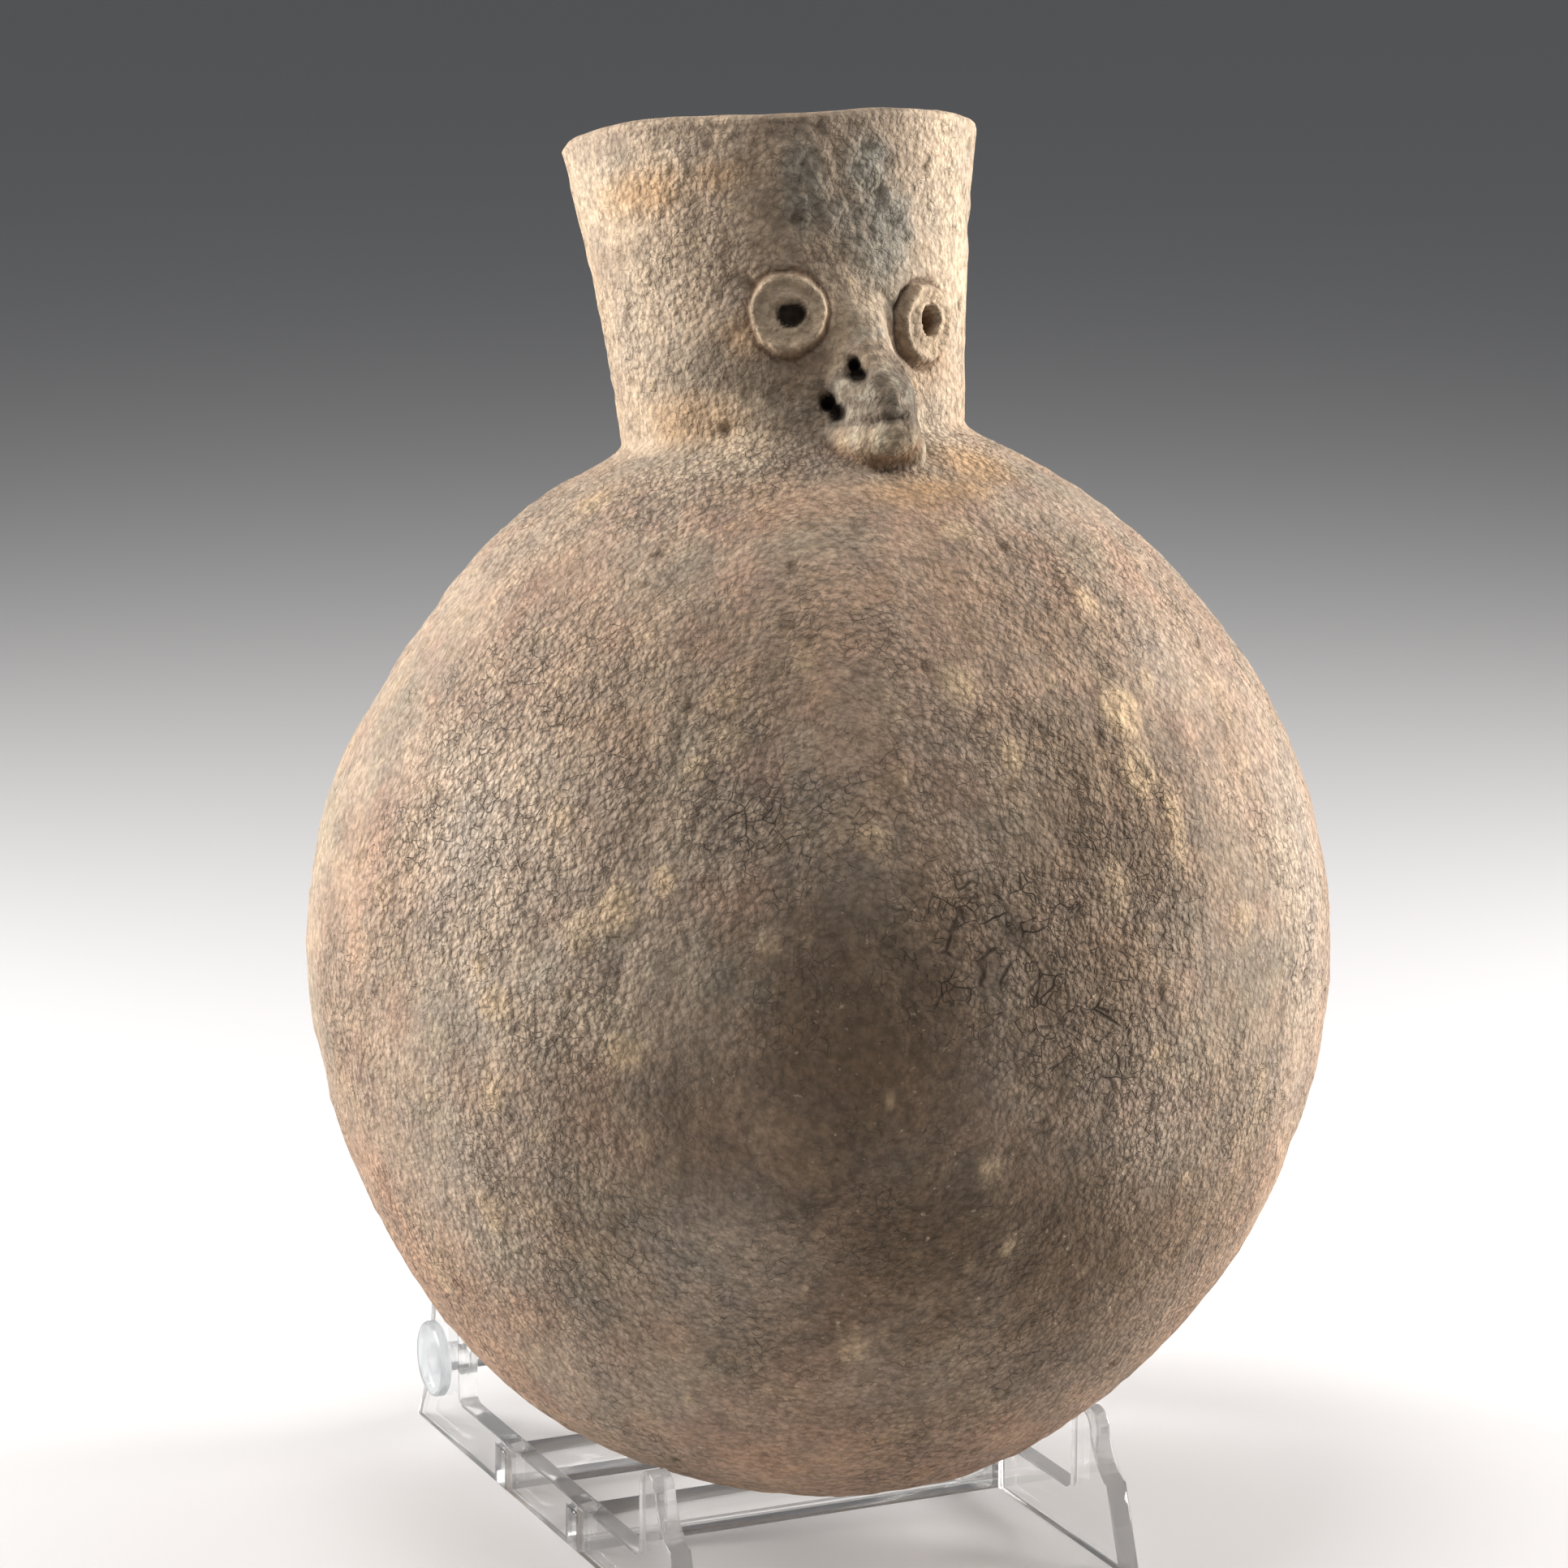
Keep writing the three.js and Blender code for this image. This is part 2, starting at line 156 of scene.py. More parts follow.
def nearest_seed(points, size, seed):
    """Distance to the nearest scattered seed, with that seed's own random value."""
    scaled = points / size
    cell = np.floor(scaled).astype(np.int64)
    best = np.full(len(points), 9.0)
    value = np.zeros(len(points))
    for i in (-1, 0, 1):
        for j in (-1, 0, 1):
            for k in (-1, 0, 1):
                near = cell + np.array([i, j, k])
                spot = np.stack([lattice(near, seed + n) for n in (1, 2, 3)], axis=1)
                distance = np.linalg.norm(near + spot - scaled, axis=1)
                closer = distance < best
                best = np.where(closer, distance, best)
                value = np.where(closer, lattice(near, seed + 4), value)
    return best * size, value


def smooth(low, high, value):
    share = np.clip((value - low) / (high - low), 0, 1)
    return share * share * (3 - 2 * share)


# The grid of the jar: closer rings and sectors where the face is, closest on the muzzle's flanks
FACE_TURN, FACE_SECTORS, SIDE_SECTORS = 47, 160, 100
FLANK_TURNS, FLANK_SPREAD, FLANK_CLOSENESS = (-13, 15.5), 4, 2.6
FACE_FOOT, FACE_TOP, INNER_ROOT = ROOT - 11, ROOT + 31, ROOT - 9


def sector_angles():
    turn = np.linspace(-FACE_TURN, FACE_TURN, 941)
    density = np.ones(len(turn))
    for flank in FLANK_TURNS:
        density += FLANK_CLOSENESS * np.exp(-((turn - flank) / FLANK_SPREAD) ** 2)
    share = np.cumsum(density) - density[0]
    front = np.interp(np.linspace(0, share[-1], FACE_SECTORS), share, turn)
    # Beside the face the sectors grow wider towards the back
    side = np.cumsum(np.linspace(0.66, 1.62, SIDE_SECTORS))
    side = FACE_TURN + side * (180 - FACE_TURN) / (side[-1] + 1.4)
    return np.concatenate([-side[::-1], front, side])


def ring_levels():
    """Levels and radii from the outer pole over the lip to the inner pole."""
    bowl_rings, dome_rings, face_rings, top_rings = ((60, 56, 78, 24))
    turn = np.linspace(math.pi / 2, 0, bowl_rings, endpoint=False)[1:]
    bowl = -BOWL_DEPTH * np.sin(turn)
    dome_end = math.asin(FACE_FOOT / DOME_HEIGHT)
    dome = DOME_HEIGHT * np.sin(np.linspace(0, dome_end, dome_rings, endpoint=False))
    face = np.linspace(FACE_FOOT, FACE_TOP, face_rings)
    top = np.linspace(FACE_TOP, RIM - LIP, top_rings)[1:]
    outer = np.concatenate([bowl, dome, face, top])
    lip_turn = np.linspace(0, math.pi, 12)[1:-1]
    lip_middle = RIM_RADIUS - LIP
    inner_neck = np.linspace(RIM - LIP, INNER_ROOT, 16)
    inner_dome_end = math.asin(INNER_ROOT / (DOME_HEIGHT - BODY_WALL))
    inner_dome = (DOME_HEIGHT - BODY_WALL) * np.sin(np.linspace(inner_dome_end, 0, 9)[1:])
    inner_bowl = -(BOWL_DEPTH - BODY_WALL) * np.sin(np.linspace(0, math.pi / 2, 12)[1:-1])
    inner = np.concatenate([inner_neck, inner_dome, inner_bowl])
    levels = np.concatenate([outer, RIM - LIP + LIP * np.sin(lip_turn), inner])
    radii = np.concatenate([
        jar_radius(outer, 0, 0),
        lip_middle + LIP * np.cos(lip_turn),
        jar_radius(inner, BODY_WALL, NECK_WALL),
    ])
    return levels, radii, len(outer), len(lip_turn)


# The muzzle from foot to top: level over the neck's root, reach in front of the neck's axis, half
# width. The mouth is at the small dip near level 2, between jaw and lip.
MUZZLE = [
    (-8, 38, 2.5), (-6.4, 42, 4.4), (-5.4, 44.6, 5.8), (-4.6, 46.4, 7.0),
    (-3.8, 47.8, 7.9), (-2.8, 48.8, 8.6), (-1.6, 49.3, 9.0), (-0.4, 49.2, 9.0),
    (0.8, 48.6, 8.8), (1.8, 47.9, 8.5), (3.2, 48.2, 8.7), (5.8, 47.2, 8.7),
    (8, 45.0, 8.4), (10.5, 42.5, 7.6), (13.5, 39.6, 6.4), (17, 37.7, 5.3),
    (22, 36.2, 4.7), (27, 35, 4.4),
]
MUZZLE_MIDDLE, MOUTH_LEVEL, SLIT_DEPTH, JAW_GROOVE = 0.8, 1.9, 1.1, 1.5
PUPIL_DEPTH, EYE_PROUD = 6.3, 1.5
FACE_EDGE, PRICK_FRONT = math.radians(48), 26
# Relief stands out by this reach at most, over a skin that is sunk by the drop
RELIEF_REACH, RELIEF_DROP, POLE_RISE, BOX_MARGIN = 0.9, 0.5, 0.9, 0.03
EYES = [
    {"azimuth": -22.5, "level": 21.9, "half": 7.1, "tall": 7.5, "pupil": (0.6, -0.3), "hole": (2.6, 2.35)},
    {"azimuth": 25, "level": 18.8, "half": 6.75, "tall": 7.5, "pupil": (0.5, 0.6), "hole": (2.4, 2.8)},
]
# Holes beside the mouth and in the nose: direction they are pushed in from, in degrees from the
# front, then place across that direction, level over the root, half sizes and depth in mm
PRICKS = [
    (-24, 7.2, 5.3, 1.4, 1.5, 5.5),
    (-24, 8.5, 3.7, 1.5, 1.5, 5.0),
    (-24, 12.7, 11.2, 1.1, 1.5, 5.0),
    (-24, 13.1, 9.4, 1.6, 1.3, 5.0),
    (40, -19.9, 3.4, 1.3, 1.8, 2.6),
    (40, -21.5, 11.6, 0.8, 0.8, 1.8),
    (40, -21.0, 9.7, 0.8, 0.9, 2.0),
]


def face_relief(grid):
    """The muzzle's forward lift, the pushed-in holes and the raised eyes, with masks for the tones and for
    the painted shade.
    """
    azimuth, level, radius = grid.azimuth, grid.level, grid.radius
    over = level - ROOT
    side = radius * np.sin(azimuth)
    front = radius * np.cos(azimuth)
    near = (np.abs(azimuth) < FACE_EDGE) & (over > -12) & (over < 34)
    table = np.array(MUZZLE).T
    reach, half = np.interp(over, table[0], table[1]), np.interp(over, table[0], table[2])
    share = np.clip(np.abs(side - MUZZLE_MIDDLE) / half, 0, 1)
    crown = (1 - share ** 2.5) ** 0.85
    lift = np.maximum(0, reach - radius) * crown * near
    muzzle = smooth(0.3, 3.0, lift)
    slit = np.exp(-((over - MOUTH_LEVEL - 0.05 * side) / 0.55) ** 2)
    slit = slit * smooth(7.0, 4.5, np.abs(side + 2.5)) * (front > 0)
    lift = lift - SLIT_DEPTH * slit * muzzle
    # Groove under the jaw; the same mask carries the painted shadow under the jaw
    jaw_foot = -4.4 + 0.05 * (side + 1.8) ** 2
    jaw_groove_and_shade = np.exp(-((over - jaw_foot) / 1.25) ** 2) * smooth(10.5, 7, np.abs(side)) * near
    lift = lift - JAW_GROOVE * jaw_groove_and_shade
    # Painted shade: the mouth slit, the pushed-in holes and the pupils are darkened
    hole_shade = slit * muzzle * 0.3

    ahead = front + lift
    push, push_turn = np.zeros(len(level)), np.zeros(len(level))
    for degrees, place, height, wide, tall, depth in PRICKS:
        turn = math.radians(degrees)
        across = side * math.cos(turn) - ahead * math.sin(turn)
        facing = side * math.sin(turn) + ahead * math.cos(turn)
        part = ((across - place) / wide) ** 2 + ((over - height) / tall) ** 2
        hole = np.exp(-part ** 1.6 * 0.8) * near * (facing > PRICK_FRONT)
        push_turn = np.where(depth * hole > push, turn, push_turn)
        push = np.maximum(push, depth * hole)
        hole_shade = np.maximum(hole_shade, smooth(0.25, 0.65, hole))

    eye_out, disc, shaded_crevice, shaded_disc_wall = (np.zeros(len(level)) for _ in range(4))
    for eye in EYES:
        along = radius * (azimuth - math.radians(eye["azimuth"]))
        rise = over - eye["level"]
        turn = np.arctan2(rise, along)
        ragged = 1 + 0.02 * np.sin(3 * turn + 1) + 0.012 * np.sin(7 * turn) + 0.01 * np.sin(13 * turn + 2)
        part = np.sqrt((along / eye["half"]) ** 2 + (rise / eye["tall"]) ** 2) / ragged
        rolled = EYE_PROUD + 0.75 * np.exp(-((part - 0.86) / 0.11) ** 2)
        rolled += 0.35 * np.exp(-((part - 0.44) / 0.12) ** 2)
        eye_out = np.maximum(eye_out, smooth(1.06, 0.93, part) * rolled * (part < 1.2))
        gap = np.exp(-((part - 1.11) / 0.06) ** 2) * smooth(1.6, 0.4, lift)
        eye_out = eye_out - 0.75 * gap
        pupil_x, pupil_z = eye["pupil"]
        wide, tall = eye["hole"]
        inside = np.sqrt(((along - pupil_x) / wide) ** 2 + ((rise - pupil_z) / tall) ** 2)
        inside = inside / (1 + 0.05 * np.sin(3 * turn + 0.5))
        eye_out = eye_out - PUPIL_DEPTH * smooth(1.12, 0.84, inside)
        hole_shade = np.maximum(hole_shade, smooth(1.1, 0.9, inside))
        disc = np.maximum(disc, smooth(1.05, 0.97, part))
        # Mask of the crevice round the discs, where shade is painted
        shaded_crevice = np.maximum(shaded_crevice, gap)
        # Mask of the side walls of the eye discs, where shade is painted
        shaded_disc_wall = np.maximum(shaded_disc_wall, smooth(0.92, 0.98, part) * smooth(1.1, 1.03, part))
    return SimpleNamespace(
        lift=lift, push=push, push_turn=push_turn, eye_out=eye_out * near, muzzle=muzzle, hole_shade=hole_shade,
        disc=disc * near, shaded_disc_wall=shaded_disc_wall * near, shaded_crevice=shaded_crevice * near, jaw_groove_and_shade=jaw_groove_and_shade)


# Marks on the body: azimuth in degrees, level, half width and half height in mm, strength
CRUSTS = [
    (-45, 18.5, 4.2, 5.0, 1.0), (-40, 23.5, 3.0, 3.0, 0.9), (-49.5, 13.5, 3.5, 4.0, 0.9),
    (-60, 1, 3.2, 3.2, 0.8), (-44.5, -7, 3.6, 3.2, 1.0), (-61.5, -15.5, 3.0, 3.4, 0.8),
    (-66.5, -39.5, 3.0, 4.2, 0.9), (-83, -55, 3.4, 4.0, 0.7), (17, 47.5, 4.2, 5.0, 1.0),
    (16.5, 36, 3.6, 4.8, 1.0), (19.5, 27, 2.8, 8.0, 0.9), (-17.5, 29, 3.2, 2.6, 0.9),
    (-4.5, 54.5, 3.8, 3.4, 0.9), (-0.5, 41.5, 2.4, 3.2, 0.8), (21, 66.5, 3.2, 2.2, 0.9),
    (5.5, 80, 4.2, 2.0, 0.9), (-72.5, 87.5, 4.0, 1.8, 0.7), (9.5, 16, 2.6, 5.0, 0.7),
    (-6.5, -31, 2.4, 2.4, 0.9), (-21.5, -64, 2.6, 2.4, 0.8), (-3.5, -47, 1.4, 1.2, 1.1),
    (-24, 60, 1.8, 1.8, 0.6), (-33, 55, 3.0, 2.4, 0.5), (28, 8, 2.8, 3.0, 0.6),
    (-29, 12, 2.2, 2.2, 0.7), (24, 52, 2.0, 2.0, 0.7), (-79, 20, 2.6, 2.6, 0.5),
    (14, -14, 1.8, 2.0, 0.6), (-53, 34, 2.4, 2.4, 0.6), (33, -22, 2.6, 2.2, 0.5),
    (-33, 47, 2.6, 2.4, 0.7), (-37, 42, 2.2, 2.0, 0.7), (0, 62, 2.2, 2.0, 0.6),
    (8, 54, 1.6, 1.8, 0.7), (-14, 40, 1.6, 1.8, 0.6), (-56, -22, 2.0, 2.4, 0.7),
    (-62, 8, 1.6, 1.8, 0.7), (130, 40, 4.0, 5.0, 0.8), (165, -10, 5.0, 4.0, 0.8),
    (-140, 20, 4.0, 3.6, 0.8), (100, -35, 4.0, 4.0, 0.7), (-165, 60, 3.6, 3.6, 0.7),
    (75, 30, 3.4, 4.4, 0.7),
]
# Fire clouds: azimuth, level, half width and half height in mm, strength
CLOUDS = [
    (-18, -8, 26, 30, 0.95), (-24, -34, 20, 22, 0.8), (8, -52, 32, 26, 0.95),
    (2, -30, 24, 26, 0.5), (-12, -44, 32, 26, 0.95), (4, -10, 26, 26, 0.55),
    (-52, 40, 20, 16, 0.40), (-36, 56, 24, 14, 0.3), (-22, 36, 26, 16, 0.22),
    (-74, 12, 14, 30, 0.18), (-48, -30, 18, 30, 0.35), (11, 27, 24, 26, 0.75),
    (3, 2, 24, 24, 0.75), (-52, -38, 16, 18, 0.35), (-36, -22, 16, 20, 0.7),
    (24, -30, 20, 30, 0.4), (-3, -72, 34, 18, 0.4), (16, 60, 22, 16, 0.4),
    (-40, -20, 18, 18, 0.5), (150, 10, 40, 45, 0.7), (-150, -30, 34, 36, 0.6),
    (95, 40, 26, 30, 0.4),
]
# Warm patches in the same terms
WARMS = [
    (-10, 66, 34, 16, 0.5), (-95, -60, 30, 26, 0.8), (-8, -95, 60, 16, 0.8),
    (42, -66, 34, 26, 0.6), (-12, 10, 7, 40, 0.4), (-62, 66, 22, 14, 0.35),
    (36, 52, 22, 22, 0.45), (60, -10, 26, 40, 0.5), (-8, 84, 20, 6, 0.5),
    (-88, -10, 16, 40, 0.4), (-170, -60, 60, 30, 0.5), (120, -50, 50, 40, 0.5),
]
# Pale patches of the body
PALES = [
    (-65, 34, 19, 16, 0.6), (47, 20, 12, 32, 0.6), (30, 55, 11, 10, 0.45),
    (-36, -45, 13, 10, 0.32), (-60, 8, 12, 10, 0.3), (15, -30, 10, 10, 0.25),
]
# Grey, pale and ochre patches of the neck and its root
NECK_GREYS = [
    (-16, ROOT + 42, 10, 14, 0.85), (2, ROOT + 46, 12, 12, 0.9), (-8, ROOT + 30, 13, 8, 0.8),
    (12, ROOT + 34, 6, 12, 0.55), (-34, ROOT + 22, 8, 12, 0.35), (-72, ROOT + 38, 12, 9, 0.35),
    (-34, ROOT + 6, 11, 7, 0.85), (-46, ROOT + 34, 9, 8, 0.4), (160, ROOT + 30, 24, 16, 0.6),
    (-24, ROOT + 9, 8, 5, 0.6), (-46, ROOT + 12, 12, 9, 0.95), (-20, ROOT - 1, 7, 3, 0.6),
    (-30, ROOT + 14, 8, 7, 0.5),
]
NECK_PALES = [
    (-82, ROOT + 48, 16, 9, 1.0), (-60, ROOT + 50, 10, 6, 0.7), (42, ROOT + 42, 14, 24, 1.0),
    (8, ROOT + 24, 9, 6, 0.7), (-58, ROOT + 3, 16, 5, 0.8), (30, ROOT + 4, 10, 8, 0.7),
    (-10, ROOT + 22, 4, 6, 0.6), (-46, ROOT - 2, 12, 3, 0.6), (80, ROOT + 30, 20, 24, 0.7),
    (-76, ROOT + 22, 14, 13, 0.55),
]
OCHRES = [
    (-64, ROOT + 47, 12, 4, 0.8), (-60, ROOT + 4, 8, 4, 0.7), (-36, ROOT + 19, 5, 4, 0.5),
    (28, ROOT + 12, 5, 5, 0.4), (-40, ROOT + 48, 8, 3, 0.6), (24, ROOT - 6, 9, 3, 0.8),
    (6, ROOT - 9, 14, 2.5, 0.8),
]
# Crusts of the neck
NECK_CRUSTS = [
    (4, ROOT + 48, 5, 6, 1.0), (10, ROOT + 36, 6, 10, 0.9), (-16, ROOT + 46, 4, 9, 0.6),
    (16, ROOT + 22, 4, 5, 0.7), (-2, ROOT + 38, 5, 5, 0.6),
]
# The press mark on the viewer's left shoulder
DENTS = [(-108, 62, 24, 16, 1.0)]
# Centres of the strong crazing on the body
CRAZES = [
    (-4, 7, 18, 16, 1.05), (3, -8, 14, 14, 0.7), (-51, -3, 12, 10, 0.4),
    (-29, 30, 14, 10, 0.45), (-68, 28, 18, 24, 0.4), (12, 20, 16, 14, 0.5),
    (-60, 60, 18, 12, 0.35), (150, 0, 34, 34, 0.5),
]


def patch(grid, marks, wobble, edge=1.0):
    """Soft-edged patches; the wobble makes their edges uneven."""
    total = np.zeros(len(grid.level))
    for middle, height, wide, tall, strength in marks:
        turn = (grid.azimuth - math.radians(middle) + math.pi) % (2 * math.pi) - math.pi
        part = np.sqrt((turn * grid.radius / wide) ** 2 + ((grid.level - height) / tall) ** 2) + wobble
        total = np.maximum(total, strength * smooth(1 + edge * 0.55, 1 - edge * 0.55, part))
    return total


def jar_grid():
    """Places on the profile, ring by ring, and the direction in which relief stands out there."""
    azimuths = np.radians(sector_angles())
    levels, radii, outer_count, lip_count = ring_levels()
    rings, sectors = len(levels), len(azimuths)
    azimuth = np.tile(azimuths, rings)
    level, radius = np.repeat(levels, sectors), np.repeat(radii, sectors)
    ring = np.repeat(np.arange(rings), sectors)
    run, rise = np.gradient(radii), np.gradient(levels)
    length = np.hypot(run, rise) + 1e-9
    out_share, up_share = np.repeat(rise / length, sectors), np.repeat(-run / length, sectors)
    return SimpleNamespace(
        rings=rings, sectors=sectors, azimuth=azimuth, level=level, radius=radius,
        outside=ring < outer_count,
        lip=(ring >= outer_count) & (ring < outer_count + lip_count),
        flat=np.stack([radius * np.sin(azimuth), -radius * np.cos(azimuth), level], axis=1),
        normal=np.stack([out_share * np.sin(azimuth), -out_share * np.cos(azimuth), up_share], axis=1))


def clay_relief(grid, face):
    """Undulation, pits, knobs, crusts and dents along the normal, with the masks they share."""
    flat, outside = grid.flat, grid.outside
    wobble = 0.22 * layered_noise(flat, 9.0, 3)
    crust = patch(grid, CRUSTS, wobble * 2.2, 0.7) * outside
    neck_crust = patch(grid, NECK_CRUSTS, wobble * 1.8, 1.0) * outside
    craze = patch(grid, CRAZES, wobble * 1.5, 1.2) * outside
    on_neck = smooth(ROOT - 4, ROOT + 4, grid.level)

    relief = 0.75 * layered_noise(flat, 52.0, 11, 2)
    relief += 0.30 * layered_noise(flat, 12.0, 21, 2) * (1 - 0.6 * face.disc)
    relief += 0.34 * soft_noise(flat, 4.4, 31) + (0.12 + 0.14 * on_neck) * soft_noise(flat, 2.3, 41)
    gap, value = nearest_seed(flat, 8.5, 51)
    pit = smooth(1.9, 0.5, gap) * smooth(0.45, 0.8, value)
    relief -= 0.75 * pit * (1 - face.muzzle)
    gap, value = nearest_seed(flat, 5.0, 61)
    knob = smooth(1.5, 0.4, gap) * smooth(0.5, 0.9, value)
    relief += 0.4 * knob * (1 - face.disc)
    relief += crust * (0.45 + 0.5 * soft_noise(flat, 2.2, 71))
    gap, value = nearest_seed(flat, 3.4, 81)
    relief -= 0.55 * smooth(1.3, 0.3, gap) * smooth(0.35, 0.6, value) * crust
    relief += neck_crust * (0.4 + 1.2 * soft_noise(flat, 2.6, 91))
    relief += craze * 0.55 * layered_noise(flat, 7.0, 101, 2)
    lumps = 0.1 + 0.9 * layered_noise(flat, 3.4, 111, 2) + 0.45 * soft_noise(flat, 1.5, 113)
    relief += face.muzzle * lumps
    relief -= 1.6 * patch(grid, DENTS, wobble * 0.4, 1.6) * outside
    lip_relief = 0.35 * layered_noise(flat, 9.0, 121, 2)
    relief = np.where(outside, relief, np.where(grid.lip, lip_relief, 0))
    relief = np.where(relief > 0, RELIEF_REACH * (1 - np.exp(-relief / RELIEF_REACH)), relief)
    relief = np.where(outside | grid.lip, relief - RELIEF_DROP, relief)
    marks = SimpleNamespace(
        crust=crust, neck_crust=neck_crust, craze=craze, on_neck=on_neck, pit=pit, knob=knob)
    return relief, marks


def shape_jar(grid, face, relief):
    """Every place with its relief, still upright and unbent."""
    outside, azimuth = grid.outside, grid.azimuth
    flat = grid.flat + grid.normal * relief[:, None]
    flat[:, 1] -= face.lift * outside
    flat[:, 0] -= face.push * np.sin(face.push_turn) * outside
    flat[:, 1] += face.push * np.cos(face.push_turn) * outside
    flat[:, 0] += face.eye_out * np.sin(azimuth) * outside
    flat[:, 1] -= face.eye_out * np.cos(azimuth) * outside
    wave = 1.9 * np.exp(-((azimuth + 1.35) / 0.75) ** 2) - 0.35 + 0.2 * np.sin(azimuth * 5)
    flat[:, 2] += smooth(RIM - 14, RIM, grid.level) * wave
    return flat


def tone(red, green, blue):
    """A linear colour."""
    return np.array([red, green, blue])


def jar_tones(grid, face, marks, flat):
    """Base tones by place, with painted shade in the holes, crevices and under the jaw, and the mask of the
    crazing.
    """
    level, azimuth, on_neck = grid.level, grid.azimuth, marks.on_neck
    muzzle, disc, hole_shade = face.muzzle, face.disc, face.hole_shade
    taupe, cream, grey = tone(0.35, 0.28, 0.218), tone(0.43, 0.335, 0.245), tone(0.185, 0.148, 0.112)
    cloud_tone, warm, buff = tone(0.128, 0.088, 0.057), tone(0.40, 0.21, 0.12), tone(0.52, 0.39, 0.25)
    colour = np.tile(taupe, (len(level), 1))

    def lay(mask, value):
        nonlocal colour
        colour = colour + (value - colour) * np.clip(mask, 0, 1)[:, None]

    cloudy = 0.30 * layered_noise(flat, 26.0, 131) + 0.12 * layered_noise(flat, 7.0, 141)
    lay(0.45 * smooth(-0.3, 0.5, layered_noise(flat, 34.0, 151)), tone(0.31, 0.245, 0.185))
    lay(0.35 * smooth(0.0, 0.5, layered_noise(flat, 15.0, 161)), tone(0.37, 0.24, 0.165))
    hue = layered_noise(flat, 11.0, 191)
    lay(0.4 * smooth(0.12, 0.5, hue), tone(0.38, 0.245, 0.185))
    lay(0.4 * smooth(-0.12, -0.5, hue), tone(0.31, 0.28, 0.21))
    hue = layered_noise(flat, 5.0, 201, 2)
    lay(0.22 * smooth(0.3, 0.7, hue), tone(0.46, 0.33, 0.19))
    lay(patch(grid, WARMS, cloudy, 1.5) * 0.5, warm * 0.95)
    lay(patch(grid, CLOUDS, cloudy * 1.3, 1.6), cloud_tone)
    lay(patch(grid, PALES, cloudy * 1.8, 1.8), tone(0.48, 0.405, 0.33))

    lay(0.75 * on_neck, cream)
    lay(0.35 * on_neck * smooth(-0.1, 0.4, layered_noise(flat, 12.0, 171)), tone(0.34, 0.26, 0.19))
    lay(patch(grid, NECK_GREYS, cloudy * 1.6, 1.5), grey)
    lay(patch(grid, NECK_PALES, cloudy * 1.4, 1.4), tone(0.51, 0.415, 0.31))
    lay(0.8 * marks.neck_crust, tone(0.26, 0.25, 0.21))
    lay(0.7 * marks.crust, buff)
    lay(patch(grid, OCHRES, cloudy * 1.4, 1.4) * 0.85, tone(0.45, 0.28, 0.145))
    lay(0.5 * marks.pit, cloud_tone * 0.8)
    lay(0.45 * marks.knob, buff * 0.95)

    lip_grey = muzzle * smooth(ROOT + 13, ROOT + 9, level) * smooth(ROOT + 0.2, ROOT + 2, level)
    lay(0.85 * lip_grey, tone(0.15, 0.125, 0.098))
    lay(muzzle * 0.8 * smooth(ROOT + 1.5, ROOT - 0.5, level), tone(0.42, 0.33, 0.22))
    # Painted shade on the muzzle's far flank, on the viewer's right
    far_lip_shade = muzzle * smooth(0.02, 0.15, azimuth)
    far_lip_shade = far_lip_shade * smooth(ROOT - 3, ROOT, level) * smooth(ROOT + 12, ROOT + 8, level)
    lay(0.7 * far_lip_shade, tone(0.13, 0.108, 0.085))
    mottle = layered_noise(flat, 2.4, 211, 2)
    lay(0.45 * muzzle * smooth(0.05, 0.45, mottle), tone(0.42, 0.39, 0.31))
    lay(0.6 * muzzle * smooth(-0.05, -0.45, mottle), tone(0.11, 0.09, 0.068))
    lay(0.7 * disc, tone(0.46, 0.36, 0.25))
    # Painted shade on the side walls of the eye discs
    lay(0.55 * face.shaded_disc_wall, tone(0.17, 0.11, 0.07))
    # Painted shade in the crevice round the eye discs
    lay(0.85 * face.shaded_crevice, tone(0.10, 0.055, 0.03))
    # Painted shadow under the jaw, warm brown
    lay(0.65 * face.jaw_groove_and_shade, tone(0.22, 0.12, 0.065))
    # Painted shade: the holes, the pupils and the mouth slit near black
    lay(0.97 * hole_shade, tone(0.014, 0.009, 0.006))
    # Painted shade in the right eye's pupil, brown red, warmed by light bounced off its walls
    lay(0.8 * hole_shade * disc * (azimuth > 0), tone(0.15, 0.065, 0.028))
    lay(np.where(grid.outside | grid.lip, 0.0, 0.9), tone(0.22, 0.15, 0.105))

    crazing = 0.26 - 0.16 * on_neck + 0.9 * marks.craze + 0.45 * layered_noise(flat, 24.0, 181)
    on_face = np.maximum(np.maximum(disc, muzzle), face.shaded_crevice)
    return np.clip(colour, 0, 1), np.clip(crazing, 0, 1) * (1 - on_face) * grid.outside


